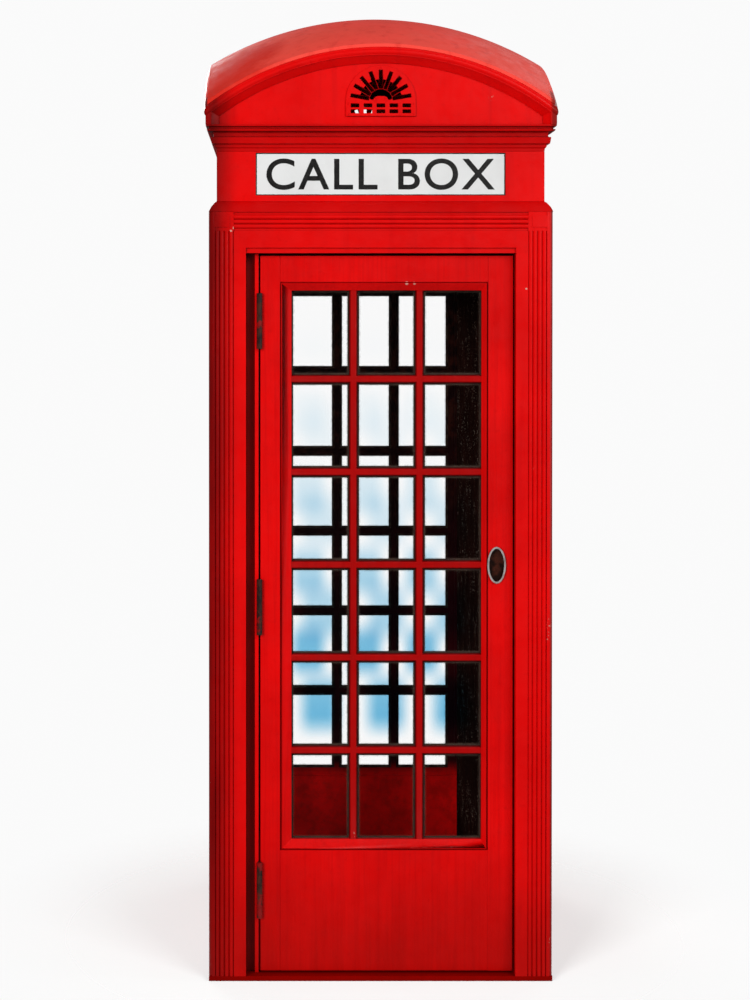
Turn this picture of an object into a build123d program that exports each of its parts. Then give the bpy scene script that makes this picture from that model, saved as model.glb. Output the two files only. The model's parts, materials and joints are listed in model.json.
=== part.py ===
from build123d import *
import math
import os

# A cast-iron street telephone box with a timber door, in millimetres.
# Origin on the ground under the middle of the cabin, +Z up, the door side faces -Y.

# ---- cabin body ----
BODY_HALF = 492.5       # half width over the faces of the corner posts
POST_BAND = 71.5        # reeded band on each face of a corner post, with its round corner
ARCHITRAVE_W = 35.0     # flat margin between the reeded band and an opening
CORNER_ROUND = 18.0     # radius of the outer corner of a post
SILL_TOP = 14.0         # top of the base sill and of the floor
OPENING_TOP = 2087.0    # underside of the lintels
ARCHITRAVE_H = 63.0     # flat of a lintel, up to the plain blocks on the post heads
BLOCK_H = 55.0          # height of those blocks
LEDGE_H = 31.0          # height of the sloping ledge
FRIEZE_H = 143.0        # height of the frieze that holds the sign glasses
CORNICE_H = 75.0        # height of the cornice, under the pediments

# ---- reeding ----
REEDS = 4               # reeds between the round corner and the architrave
REED_RELIEF = 5.0       # how far a reed stands out of its band
LINTEL_REEDS = 3        # horizontal reeds across the top of a lintel
BLOCK_INSET = 2.0       # how far the rim of a post block lies behind the body face
BLOCK_RIM = 11.0        # width of that rim
HEAD_STEP_H = 15.0      # height of the small step along the foot of a lintel
HEAD_STEP_D = 6.0       # depth of that step

# ---- recessed frames and the door ----
RECESS = 30.0           # body face to the face of a frame or of the door
FRAME_T = 42.0          # thickness of a frame and of the door
GLASS_W = 545.0         # clear width of a glazed area
GLASS_BOTTOM = 398.0    # lowest edge of the clear glass
GLASS_DROP = 107.0      # lintel down to the highest edge of the clear glass
PANE_COLUMNS = 3
PANE_ROWS = 6
BAR_W = 27.0            # glazing bar over its widest part
BAR_BEVEL = 6.0         # width of the bevel on each side of a bar
BAR_SETBACK = 15.0      # frame face to the front of the bars
MOULD_HEAD = 25.0       # moulding above the glass, with its groove
MOULD_FOOT = 30.0       # the same below it
MOULD_SIDE = 26.0       # and beside it, on the fixed sides
MOULD_HINGE = 34.0      # and beside it on the door, next to the hinges
MOULD_LOCK = 19.0       # and next to the lock
QUIRK_W = 4.0           # groove along the outside of the moulding
QUIRK_D = 7.0
MOULD_LAND = 1.5        # flat edge between the groove and the slope
GRID_T = 36.0           # thickness of a glazing grid with its moulding
PANE_T = 4.0
PANE_LAP = 5.0          # how far a pane runs under the bars on each side
PANE_GAP = 1.0          # clearance around a pane in its rebate
PANE_DEPTH = 25.0       # frame face to the front of a pane

SIDE_GAP = 5.0          # clearance beside the door, at its hinge edge and at its lock edge
HEAD_GAP = 7.0          # clearance above the door
FOOT_GAP = 6.0          # clearance below the door
DOOR_GLASS_SHIFT = 0.5  # middle of the door's glass to the right of its own middle
BEHIND_DOOR = 5.0       # gap between the back of the door and the stops
STOP_LAP = 22.0         # how far a stop covers the edge of the opening or of the door

# ---- hinges ----
HINGE_PROUD = 9.0       # pin in front of the door face
BARREL_R = 8.0
PIN_R = 3.0
PIN_FIT = 0.08          # radial clearance of the pin in the turning barrels
KNUCKLE_H = 31.5
KNUCKLE_GAP = 0.5
KNUCKLES = 5
LEAF_T = 2.5
LEAF_D = 32.0           # depth of a hinge leaf along the edge of the door
LEAF_FIT = 0.5          # gap round a leaf in its recess
HINGE_LOW = 155.0       # bottom of the door to the bottom of the lowest hinge
HINGE_HIGH = 267.0      # top of the door to the bottom of the highest hinge
HINGE_MID_SHIFT = -3.0  # middle hinge above the middle between the other two
JAMB_W = 36.0           # width of the hinge jamb in front
JAMB_STRIP_W = 11.0     # width of the strip along its edge that carries the hinges
JAMB_BACKSET = 18.0     # strip face to the bottom of the groove beside it

# ---- door pull ----
PULL_INSET = 47.0       # lock edge of the door to the middle of the pull
PULL_Z = 1191.0
PULL_W = 53.0
PULL_H = 105.0
PULL_T = 7.0
PULL_RIM = 5.0          # width of the rim around the cup
PULL_CUP_D = 14.0       # depth of the cup below the rim
PULL_SHELL = 2.0        # wall of the cup
PULL_FIT = 0.5          # gap between the cup and its pocket in the stile

# ---- frieze, signs, cornice ----
FRIEZE_SETBACK = 22.5   # body face to the face of the frieze
UPPER_WALL = 30.0       # thickness of the frieze
SIGN_W = 716.0
SIGN_FOOT = 17.0        # ledge to the opening of a sign glass
SIGN_HEAD = 4.0         # opening of a sign glass to the cornice
SIGN_LIP = 3.0          # how far a sign glass runs under its opening on each side
SIGN_T = 6.0
SIGN_DEPTH = 4.0        # frieze face to the face of a sign glass
SIGN_GAP = 0.5
EAVES_OVERHANG = 8.5    # widest line of the cornice and the eaves past the body face
LEDGE_STEPS = (         # share of the ledge's height, share of its slope inward
    (0.0, 0.0),
    (0.45, 0.29),
    (0.85, 0.71),
    (1.0, 1.0),
)
CORNICE_STEPS = (       # share of the cornice's height, share of its reach outward
    (0.0, 0.0),
    (0.11, 0.03),
    (0.16, 0.16),
    (0.27, 0.19),
    (0.28, 0.45),
    (0.52, 0.55),
    (0.55, 0.29),
    (0.72, 0.32),
    (0.75, 0.84),
    (0.81, 0.90),
    (0.83, 0.68),
    (0.91, 0.71),
    (0.92, 0.97),
    (1.0, 1.0),
)

# ---- roof ----
EAVES_H = 60.0          # cornice to the dome at its four corners
DOME_RISE = 306.0       # corners of the dome to its top
DOME_T = 8.0
DOME_SETBACK = 5.0      # eaves of the dome behind the widest line
TYMPANUM_MARGIN = 37.0  # eaves line to the edge of the sunk panel at its full depth
TYMPANUM_RECESS = 26.0
ROLL_R = 10.0           # round moulding that follows the arch
ROLL_INSET = 11.0       # middle of the roll below the underside of the dome
ROLL_PROUD = 4.0        # how far the roll stands out of the pediment
SPLAY_W = 20.0          # width of the sloping face inside the roll
SPLAY_FRONT = 3.0       # pediment face to the front of that slope
SPLAY_BACK = 23.0       # pediment face to the back of that slope

# ---- vents ----
VENT_R = 100.0
VENT_BASE_H = 44.0
VENT_FOOT = 25.0        # cornice to the bottom of a vent grille
VENT_T = 6.0
VENT_RIM = 9.0
VENT_RAYS = 9
RAY_W = 11.0
RAY_IN = 34.0           # start and end of a ray slot from the middle of the fan
RAY_OUT = 88.0
VENT_COLUMNS = 5        # small oblong holes across the base
VENT_ROWS = 2
HOLE_W = 24.0
HOLE_H = 11.0
HOLE_PITCH_X = 37.0
HOLE_PITCH_Z = 17.0
HOLE_FOOT = 8.0         # bottom of the grille to the lowest holes

# ---- inside ----
CEILING_T = 12.0
CEILING_GAP = 1.0
BOARD_T = 25.0
BATTEN_T = 92.5         # depth of the upright battens that carry the backboard
BOARD_END_GAP = 2.0     # gap between the ends of the board and the room's corners
BOARD_BOTTOM = 60.0
BOARD_HEADROOM = 7.0    # top of the backboard below the lintels
BATTEN_W = 74.0

# ---- sizes that follow ----
BLOCK_BOTTOM = OPENING_TOP + ARCHITRAVE_H
BODY_TOP = BLOCK_BOTTOM + BLOCK_H
LEDGE_TOP = BODY_TOP + LEDGE_H
FRIEZE_TOP = LEDGE_TOP + FRIEZE_H
CORNICE_TOP = FRIEZE_TOP + CORNICE_H
EAVES_CORNER = CORNICE_TOP + EAVES_H
APEX = EAVES_CORNER + DOME_RISE
GLASS_TOP = OPENING_TOP - GLASS_DROP
SIGN_BOTTOM = LEDGE_TOP + SIGN_FOOT
SIGN_TOP = FRIEZE_TOP - SIGN_HEAD
VENT_Z = CORNICE_TOP + VENT_FOOT
UPPER_HALF = BODY_HALF - FRIEZE_SETBACK
UPPER_INNER = UPPER_HALF - UPPER_WALL
ROOF_HALF = BODY_HALF + EAVES_OVERHANG
TYMPANUM_HALF = ROOF_HALF - TYMPANUM_MARGIN
BAND_INNER = BODY_HALF - POST_BAND
ROOM_HALF = BAND_INNER - ARCHITRAVE_W
OPENING_HALF = ROOM_HALF
REED_END = BODY_HALF - CORNER_ROUND
FRAME_FACE = BODY_HALF - RECESS
FRAME_BACK = FRAME_FACE - FRAME_T
REED_PITCH = (POST_BAND - CORNER_ROUND) / REEDS
REED_R = REED_PITCH / 2
GLASS_H = GLASS_TOP - GLASS_BOTTOM
PANE_W = (GLASS_W - (PANE_COLUMNS - 1) * BAR_W) / PANE_COLUMNS
PANE_H = (GLASS_H - (PANE_ROWS - 1) * BAR_W) / PANE_ROWS
MOULD_BOTTOM = GLASS_BOTTOM - MOULD_FOOT
MOULD_TOP = GLASS_TOP + MOULD_HEAD
BOARD_TOP = OPENING_TOP - BOARD_HEADROOM
BOARD_FACE = FRAME_BACK - BATTEN_T - BOARD_T
BOARD_HALF = ROOM_HALF - BOARD_END_GAP
JAMB_EDGE = JAMB_W - OPENING_HALF
DOOR_LEFT = JAMB_EDGE + SIDE_GAP
DOOR_RIGHT = OPENING_HALF - SIDE_GAP
DOOR_BOTTOM = SILL_TOP + FOOT_GAP
DOOR_TOP = OPENING_TOP - HEAD_GAP
HINGE_STOP_X = DOOR_LEFT + STOP_LAP
PULL_X = DOOR_RIGHT - PULL_INSET
DOOR_GLASS_X = (DOOR_LEFT + DOOR_RIGHT) / 2 + DOOR_GLASS_SHIFT
HINGE_STILE_EDGE = DOOR_GLASS_X - GLASS_W / 2 - MOULD_HINGE
LOCK_STILE_EDGE = DOOR_GLASS_X + GLASS_W / 2 + MOULD_LOCK
SIDE_MOULD_HALF = GLASS_W / 2 + MOULD_SIDE
HINGE_X = (JAMB_EDGE + DOOR_LEFT) / 2
HINGE_Y = -(FRAME_FACE + HINGE_PROUD)
LOW_HINGE = DOOR_BOTTOM + HINGE_LOW
HIGH_HINGE = DOOR_TOP - HINGE_HIGH
MID_HINGE = (LOW_HINGE + HIGH_HINGE) / 2 + HINGE_MID_SHIFT
HINGE_BOTTOMS = (LOW_HINGE, MID_HINGE, HIGH_HINGE)
CORNER_REACH = ROOF_HALF * math.sqrt(2)
DOME_R = (CORNER_REACH ** 2 + DOME_RISE ** 2) / (2 * DOME_RISE)
DOME_Z = APEX - DOME_R
SOFFIT_R = DOME_R - DOME_T
ARCH_R = math.sqrt(SOFFIT_R ** 2 - ROOF_HALF ** 2)
ROLL_LINE_R = ARCH_R - ROLL_INSET
SPLAY_OUTER_R = ROLL_LINE_R - ROLL_R
TYMPANUM_R = SPLAY_OUTER_R - SPLAY_W

SIDES = {"front": 0, "right": 90, "back": 180, "left": 270}


def block(x0, x1, y0, y1, z0, z1):
    """A plain box between two corners."""
    size = Box(x1 - x0, y1 - y0, z1 - z0)
    return Pos((x0 + x1) / 2, (y0 + y1) / 2, (z0 + z1) / 2) * size


def prism(points, z0, z1):
    """A flat polygon in plan, raised from z0 to z1."""
    face = make_face(Polyline(*points, close=True))
    return Pos(0, 0, z0) * extrude(face, amount=z1 - z0)


def side_strip(outer, inner, z0, z1):
    """One mitred side of a square ring, along the front."""
    corners = [(-outer, -outer), (outer, -outer), (inner, -inner), (-inner, -inner)]
    return prism(corners, z0, z1)


def rod_x(length, radius, y, z):
    """A rod along X."""
    return Pos(0, y, z) * Rot(0, 90, 0) * Cylinder(radius, length)


def rod_y(radius, y0, y1, x, z):
    """A rod along Y."""
    return Pos(x, (y0 + y1) / 2, z) * Rot(90, 0, 0) * Cylinder(radius, y1 - y0)


def turned(shape, degrees):
    return Rot(0, 0, degrees) * shape


def save(shapes, name):
    """Writes one node. Solids that belong together go out as one file."""
    shapes = shapes if isinstance(shapes, list) else [shapes]
    solids = [solid for shape in shapes for solid in shape.solids()]
    whole = solids[0] if len(solids) == 1 else Compound(children=solids)
    whole.label = name
    export_step(whole, f"parts/{name}.step")


# ---- body ----

def base_sill():
    outer = block(-BODY_HALF, BODY_HALF, -BODY_HALF, BODY_HALF, 0, SILL_TOP)
    half = ROOM_HALF
    return outer - block(-half, half, -half, half, -1, SILL_TOP + 1)


def floor_slab():
    half = ROOM_HALF
    return block(-half, half, -half, half, 0, SILL_TOP)


def corner_post():
    """The front right post: square in plan, with a round corner and reeds on its two outer faces."""
    top = block(BAND_INNER, BODY_HALF, -BODY_HALF, -BAND_INNER, OPENING_TOP, BODY_TOP)
    post = block(OPENING_HALF, BODY_HALF, -BODY_HALF, -OPENING_HALF, SILL_TOP, OPENING_TOP) + top
    post -= sharp_corner()
    groove = block(
        BAND_INNER, REED_END, -BODY_HALF - 1, -BODY_HALF + REED_RELIEF, SILL_TOP - 1, BLOCK_BOTTOM
    )
    post -= both_faces(groove)
    height = BLOCK_BOTTOM - SILL_TOP
    middle = (BLOCK_BOTTOM + SILL_TOP) / 2
    for number in range(REEDS):
        along = BAND_INNER + REED_R + number * REED_PITCH
        post += both_faces(Pos(along, -BODY_HALF + REED_R, middle) * Cylinder(REED_R, height))
    return post - both_faces(block_rim())


def both_faces(shape):
    """Something on the front face of the front right post, and its like on the right face."""
    return shape + mirror(turned(shape, 90), about=Plane.XZ)


def sharp_corner():
    """What the rounding takes off the outer corner of the front right post."""
    square = block(REED_END, BODY_HALF + 1, -BODY_HALF - 1, -REED_END, SILL_TOP - 1, BODY_TOP + 1)
    height = BODY_TOP - SILL_TOP + 4
    middle = (BODY_TOP + SILL_TOP) / 2
    return square - Pos(REED_END, -REED_END, middle) * Cylinder(CORNER_ROUND, height)


def block_rim():
    """The sunk rim round the front of a post block."""
    back = -BODY_HALF + BLOCK_INSET
    rim = block(BAND_INNER - 1, REED_END, -BODY_HALF - 1, back, BLOCK_BOTTOM, BODY_TOP + 1)
    raised = block(
        BAND_INNER + BLOCK_RIM,
        REED_END,
        -BODY_HALF - 1,
        back,
        BLOCK_BOTTOM + BLOCK_RIM,
        BODY_TOP - BLOCK_RIM,
    )
    return rim - raised


def lintel():
    """The front lintel: a flat face with reeds along its top and a step at its foot."""
    body = block(-BAND_INNER, BAND_INNER, -BODY_HALF, -BAND_INNER, OPENING_TOP, BODY_TOP)
    body += side_back_strip()
    reed_zone = LINTEL_REEDS * REED_PITCH
    z0 = BLOCK_BOTTOM
    z1 = z0 + reed_zone + 2 * REED_R
    body -= block(-BAND_INNER - 1, BAND_INNER + 1, -BODY_HALF - 1, -BODY_HALF + REED_RELIEF, z0, z1)
    for number in range(LINTEL_REEDS):
        z = z0 + REED_R * 2 + number * REED_PITCH
        body += rod_x(2 * BAND_INNER, REED_R, -BODY_HALF + REED_R, z)
    step_top = OPENING_TOP + HEAD_STEP_H
    body -= block(
        -OPENING_HALF, OPENING_HALF, -BODY_HALF - 1, -BODY_HALF + HEAD_STEP_D, OPENING_TOP - 1, step_top
    )
    return body


def side_back_strip():
    """The inner part of the front lintel, mitred to its neighbours."""
    points = [
        (-BAND_INNER, -BAND_INNER),
        (BAND_INNER, -BAND_INNER),
        (ROOM_HALF, -ROOM_HALF),
        (-ROOM_HALF, -ROOM_HALF),
    ]
    return prism(points, OPENING_TOP, BODY_TOP)


def moulded_ring(steps, bottom, top, half_bottom, half_top):
    """A square ring whose outer faces go from one half width to another in steps, given as shares."""
    points = []
    for rise, reach in steps:
        half = half_bottom + reach * (half_top - half_bottom)
        points.append((half, bottom + rise * (top - bottom)))
    points += [(UPPER_INNER, top), (UPPER_INNER, bottom)]
    widest = max(half_bottom, half_top)
    across = Plane(origin=(widest, 0, 0), x_dir=(0, -1, 0), z_dir=(-1, 0, 0))
    side = extrude(across * make_face(Polyline(*points, close=True)), amount=2 * widest)
    side &= prism([(0, 0), (-widest, -widest), (widest, -widest)], 0, APEX)
    ring = side
    for degrees in (90, 180, 270):
        ring += turned(side, degrees)
    return ring


def body_ledge():
    """The square ring that slopes from the body up to the frieze."""
    return moulded_ring(LEDGE_STEPS, BODY_TOP, LEDGE_TOP, BODY_HALF, UPPER_HALF)


# ---- glazing ----

def pane_centres():
    """Middles of the panes, across and up, from the middle of the glass."""
    for row in range(PANE_ROWS):
        for column in range(PANE_COLUMNS):
            across = (column - (PANE_COLUMNS - 1) / 2) * (PANE_W + BAR_W)
            up = GLASS_BOTTOM + PANE_H / 2 + row * (PANE_H + BAR_W)
            yield across, up


def facing_plane(depth):
    """A plane parallel to the front, depth behind the face of the frames, facing forward."""
    return Plane(origin=(0, -FRAME_FACE + depth, 0), x_dir=(1, 0, 0), z_dir=(0, -1, 0))


def upright(x0, x1, z0, z1):
    """An oblong in the plane of the front."""
    return Pos((x0 + x1) / 2, (z0 + z1) / 2) * Rectangle(x1 - x0, z1 - z0)


def moulded_edge(left, right):
    """What is cut from the front of a glazing grid: the groove and the slope down to the bars."""
    x0 = -GLASS_W / 2 - left
    x1 = GLASS_W / 2 + right
    whole = upright(x0, x1, MOULD_BOTTOM, MOULD_TOP)
    edge = QUIRK_W
    kept = upright(x0 + edge, x1 - edge, MOULD_BOTTOM + edge, MOULD_TOP - edge)
    groove = extrude(facing_plane(QUIRK_D) * (whole - kept), amount=QUIRK_D)
    edge += MOULD_LAND
    mouth = upright(x0 + edge, x1 - edge, MOULD_BOTTOM + edge, MOULD_TOP - edge)
    glass = upright(-GLASS_W / 2, GLASS_W / 2, GLASS_BOTTOM, GLASS_TOP)
    slope = loft([facing_plane(0) * mouth, facing_plane(BAR_SETBACK) * glass], ruled=True)
    return groove + slope


def glazing_grid(left, right):
    """The bars of one glazed area with the sloping moulding around them, left and right of it that wide."""
    low = -FRAME_FACE
    x0 = -GLASS_W / 2 - left
    x1 = GLASS_W / 2 + right
    grid = block(x0, x1, low, low + GRID_T, MOULD_BOTTOM, MOULD_TOP)
    grid -= moulded_edge(left, right)
    for across, up in pane_centres():
        grid -= bevelled_light(across, up)
        grid -= pane_rebate(across, up)
    return grid


def bevelled_light(across, up):
    """The opening for one pane, wider towards the front."""
    bevel = math.degrees(math.atan(BAR_BEVEL / (PANE_DEPTH - BAR_SETBACK)))
    light = facing_plane(PANE_DEPTH) * Pos(across, up) * Rectangle(PANE_W, PANE_H)
    return extrude(light, amount=PANE_DEPTH - BAR_SETBACK, taper=-bevel)


def pane_rebate(across, up):
    """The wider opening behind, where the pane is set from inside."""
    half_w = PANE_W / 2 + PANE_LAP
    half_h = PANE_H / 2 + PANE_LAP
    front = -FRAME_FACE + PANE_DEPTH
    back = -FRAME_FACE + GRID_T + 1
    return block(across - half_w, across + half_w, front, back, up - half_h, up + half_h)


def panes():
    """The separate panes of one glazed area."""
    half_w = PANE_W / 2 + PANE_LAP - PANE_GAP
    half_h = PANE_H / 2 + PANE_LAP - PANE_GAP
    front = -FRAME_FACE + PANE_DEPTH
    for across, up in pane_centres():
        yield block(across - half_w, across + half_w, front, front + PANE_T, up - half_h, up + half_h)


def side_frame():
    """The cast frame of a fixed side, with one hole for its glazing grid."""
    half = OPENING_HALF
    frame = block(-half, half, -FRAME_FACE, -FRAME_BACK, SILL_TOP, OPENING_TOP)
    half = SIDE_MOULD_HALF
    return frame - block(-half, half, -FRAME_FACE - 1, -FRAME_BACK + 1, MOULD_BOTTOM, MOULD_TOP)


# ---- door ----

def door_glazing(shape):
    return Pos(DOOR_GLASS_X, 0, 0) * shape


def pull_outline(grow, y0, y1):
    """An upright oval through y0 to y1, wider than the pull by grow on every side."""
    oval = Ellipse(PULL_W / 2 + grow, PULL_H / 2 + grow)
    back = Plane(origin=(PULL_X, y1, PULL_Z), x_dir=(1, 0, 0), z_dir=(0, -1, 0))
    return extrude(back * oval, amount=y1 - y0)


def door_stile_hinge():
    edge = HINGE_STILE_EDGE
    stile = block(DOOR_LEFT, edge, -FRAME_FACE, -FRAME_BACK, DOOR_BOTTOM, DOOR_TOP)
    for hinge_bottom in HINGE_BOTTOMS:
        stile -= leaf_recess(hinge_bottom, DOOR_LEFT, DOOR_LEFT + LEAF_T)
    return stile


def door_stile_lock():
    stile = block(LOCK_STILE_EDGE, DOOR_RIGHT, -FRAME_FACE, -FRAME_BACK, DOOR_BOTTOM, DOOR_TOP)
    pocket_back = -FRAME_FACE + PULL_CUP_D + PULL_FIT
    return stile - pull_outline(PULL_FIT - PULL_RIM + PULL_SHELL, -FRAME_FACE - 1, pocket_back)


def door_rail(z0, z1):
    return block(HINGE_STILE_EDGE, LOCK_STILE_EDGE, -FRAME_FACE, -FRAME_BACK, z0, z1)


def door_pull():
    """The oval cup that is let into the lock stile."""
    face = -FRAME_FACE
    rim = pull_outline(0, face - PULL_T, face)
    cup = pull_outline(PULL_SHELL - PULL_RIM, face - 1, face + PULL_CUP_D)
    hollow = pull_outline(-PULL_RIM, face - PULL_T - 1, face + PULL_CUP_D - PULL_SHELL)
    return rim + cup - hollow


# ---- hinges ----

def knuckle_bottom(hinge_bottom, number):
    return hinge_bottom + number * (KNUCKLE_H + KNUCKLE_GAP)


def hinge_height():
    return KNUCKLES * KNUCKLE_H + (KNUCKLES - 1) * KNUCKLE_GAP


def barrel(z0, height, radius):
    return Pos(HINGE_X, HINGE_Y, z0 + height / 2) * Cylinder(radius, height)


def hinge_half(hinge_bottom, x0, x1, first):
    """A leaf between x0 and x1 with every other knuckle, from the first one."""
    back = -FRAME_FACE + LEAF_D
    half = block(x0, x1, -FRAME_FACE, back, hinge_bottom, hinge_bottom + hinge_height())
    for number in range(first, KNUCKLES, 2):
        z0 = knuckle_bottom(hinge_bottom, number)
        half += block(x0, x1, HINGE_Y, -FRAME_FACE, z0, z0 + KNUCKLE_H)
        half += barrel(z0, KNUCKLE_H, BARREL_R)
    return half


def leaf_recess(hinge_bottom, x0, x1):
    """The recess for a leaf between x0 and x1, in the edge of the door or of the jamb."""
    z0 = hinge_bottom - LEAF_FIT
    z1 = hinge_bottom + hinge_height() + LEAF_FIT
    return block(x0, x1, -FRAME_FACE - 1, -FRAME_FACE + LEAF_D + LEAF_FIT, z0, z1)


def frame_hinge(hinge_bottom):
    half = hinge_half(hinge_bottom, JAMB_EDGE - LEAF_T, JAMB_EDGE, 0)
    return half + barrel(hinge_bottom, hinge_height(), PIN_R)


def door_hinge(hinge_bottom):
    half = hinge_half(hinge_bottom, DOOR_LEFT, DOOR_LEFT + LEAF_T, 1)
    return half - barrel(hinge_bottom - 1, hinge_height() + 2, PIN_R + PIN_FIT)


# ---- door surround ----

def hinge_jamb():
    """The strip that carries the hinges, the groove beside it and the stop behind the door."""
    strip_left = JAMB_EDGE - JAMB_STRIP_W
    groove = -FRAME_FACE + JAMB_BACKSET
    stop_face = -FRAME_BACK + BEHIND_DOOR
    points = [
        (-OPENING_HALF, groove),
        (strip_left, groove),
        (strip_left, -FRAME_FACE),
        (JAMB_EDGE, -FRAME_FACE),
        (JAMB_EDGE, stop_face),
        (HINGE_STOP_X, stop_face),
        (HINGE_STOP_X, -ROOM_HALF),
        (-OPENING_HALF, -ROOM_HALF),
    ]
    jamb = prism(points, SILL_TOP, OPENING_TOP)
    for hinge_bottom in HINGE_BOTTOMS:
        jamb -= leaf_recess(hinge_bottom, JAMB_EDGE - LEAF_T, JAMB_EDGE)
    return jamb


def lock_stop():
    stop_face = -FRAME_BACK + BEHIND_DOOR
    return block(
        OPENING_HALF - STOP_LAP, OPENING_HALF, stop_face, -ROOM_HALF, SILL_TOP, OPENING_TOP
    )


def head_stop():
    stop_face = -FRAME_BACK + BEHIND_DOOR
    return block(
        HINGE_STOP_X,
        OPENING_HALF - STOP_LAP,
        stop_face,
        -ROOM_HALF,
        OPENING_TOP - 2 * STOP_LAP,
        OPENING_TOP,
    )


# ---- frieze and cornice ----

def frieze():
    """The front of the frieze, with the opening for its sign glass."""
    wall = side_strip(UPPER_HALF, UPPER_INNER, LEDGE_TOP, FRIEZE_TOP)
    half = SIGN_W / 2
    face = -UPPER_HALF
    wall -= block(-half, half, face - 1, -UPPER_INNER + 1, SIGN_BOTTOM, SIGN_TOP)
    wall -= block(
        -half - SIGN_LIP,
        half + SIGN_LIP,
        face + SIGN_DEPTH,
        -UPPER_INNER + 1,
        SIGN_BOTTOM - SIGN_LIP,
        SIGN_TOP + SIGN_LIP,
    )
    return wall


def sign_glass():
    half = SIGN_W / 2 + SIGN_LIP - SIGN_GAP
    front = -UPPER_HALF + SIGN_DEPTH
    z0 = SIGN_BOTTOM - SIGN_LIP + SIGN_GAP
    z1 = SIGN_TOP + SIGN_LIP - SIGN_GAP
    return block(-half, half, front, front + SIGN_T, z0, z1)


def cornice():
    """The moulded ring between the frieze and the pediments."""
    return moulded_ring(CORNICE_STEPS, FRIEZE_TOP, CORNICE_TOP, UPPER_HALF, ROOF_HALF)


# ---- roof ----

def ball(radius):
    return Pos(0, 0, DOME_Z) * Sphere(radius)


def roof_dome():
    """A sail dome: part of a thin sphere over the square of the eaves."""
    half = ROOF_HALF - DOME_SETBACK
    column = block(-half, half, -half, half, CORNICE_TOP, APEX + 1)
    return (column & ball(DOME_R)) - ball(SOFFIT_R)


def arched_cut(radius, half, y0, y1):
    """Everything under an arch of this radius, between two upright reveals."""
    disc = rod_y(radius, y0, y1, 0, DOME_Z)
    return disc & block(-half, half, y0 - 1, y1 + 1, CORNICE_TOP, APEX)


def splayed_cut():
    """The same with sides and arch that close in from front to back."""
    front = -ROOF_HALF + SPLAY_FRONT
    back = -ROOF_HALF + SPLAY_BACK
    depth = SPLAY_BACK - SPLAY_FRONT
    cone = Cone(SPLAY_OUTER_R, TYMPANUM_R, depth)
    cone = Pos(0, (front + back) / 2, DOME_Z) * Rot(-90, 0, 0) * cone
    wide = TYMPANUM_HALF + SPLAY_W
    narrow = TYMPANUM_HALF
    plan = [(-wide, front), (wide, front), (narrow, back), (-narrow, back)]
    return cone & prism(plan, CORNICE_TOP, APEX)


def arch_roll():
    """The round moulding that follows the arch of the front pediment."""
    middle = -ROOF_HALF + ROLL_R - ROLL_PROUD
    ring = Pos(0, middle, DOME_Z) * Rot(90, 0, 0) * Torus(ROLL_LINE_R, ROLL_R)
    mitred = side_strip(ROOF_HALF + ROLL_R, UPPER_INNER, CORNICE_TOP, APEX)
    eaves = block(-ROOF_HALF, ROOF_HALF, -ROOF_HALF - ROLL_R, 0, CORNICE_TOP, APEX)
    return ring & mitred & eaves


def pediment():
    """The front pediment under the dome, with its sunk panel and vent opening."""
    wall = side_strip(ROOF_HALF, UPPER_INNER, CORNICE_TOP, APEX) & ball(SOFFIT_R)
    wide = TYMPANUM_HALF + SPLAY_W
    wall -= arched_cut(SPLAY_OUTER_R, wide, -ROOF_HALF - 1, -ROOF_HALF + SPLAY_FRONT)
    wall -= splayed_cut()
    wall -= arched_cut(
        TYMPANUM_R, TYMPANUM_HALF, -ROOF_HALF + SPLAY_BACK - 1, -ROOF_HALF + TYMPANUM_RECESS
    )
    wall += arch_roll()
    return wall - vent_outline(-VENT_RIM, -ROOF_HALF, -UPPER_INNER + 1)


def vent_outline(grow, y0, y1):
    """A half round fan on a low oblong base."""
    radius = VENT_R + grow
    middle = VENT_Z + VENT_BASE_H
    fan = rod_y(radius, y0, y1, 0, middle)
    fan -= block(-2 * VENT_R, 2 * VENT_R, y0 - 1, y1 + 1, middle - 2 * VENT_R, middle)
    return fan + block(-radius, radius, y0, y1, VENT_Z - grow, middle)


def vent_grille():
    """The front vent: a fan of slots over rows of small oblong holes."""
    back = -ROOF_HALF + TYMPANUM_RECESS
    front = back - VENT_T
    plate = vent_outline(0, front, back)
    middle = VENT_Z + VENT_BASE_H
    for number in range(VENT_RAYS):
        angle = (number + 0.5) * 180 / VENT_RAYS
        slot = block(RAY_IN, RAY_OUT, front - 1, back + 1, -RAY_W / 2, RAY_W / 2)
        plate -= Pos(0, 0, middle) * Rot(0, -angle, 0) * slot
    for row in range(VENT_ROWS):
        z = VENT_Z + HOLE_FOOT + row * HOLE_PITCH_Z
        for column in range(VENT_COLUMNS):
            x = (column - (VENT_COLUMNS - 1) / 2) * HOLE_PITCH_X
            plate -= block(x - HOLE_W / 2, x + HOLE_W / 2, front - 1, back + 1, z, z + HOLE_H)
    return plate


# ---- inside ----

def ceiling_panel():
    half = UPPER_INNER - CEILING_GAP
    return block(-half, half, -half, half, BODY_TOP, BODY_TOP + CEILING_T)


def equipment_backboard():
    """A board on two upright battens across the room side of the right wall."""
    back = BOARD_FACE + BOARD_T
    board = block(BOARD_FACE, back, -BOARD_HALF, BOARD_HALF, BOARD_BOTTOM, BOARD_TOP)
    for inner, outer in ((-BOARD_HALF, -BOARD_HALF + BATTEN_W), (BOARD_HALF - BATTEN_W, BOARD_HALF)):
        board += block(back, FRAME_BACK, inner, outer, BOARD_BOTTOM, BOARD_TOP)
    return board


def write_body():
    save(base_sill(), "base_sill")
    save(floor_slab(), "floor_slab")
    posts = {"front_right": 0, "back_right": 90, "back_left": 180, "front_left": 270}
    for name, degrees in posts.items():
        save(turned(corner_post(), degrees), f"corner_post_{name}")
    for name, degrees in SIDES.items():
        save(turned(lintel(), degrees), f"lintel_{name}")
    save(body_ledge(), "body_ledge")


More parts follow.
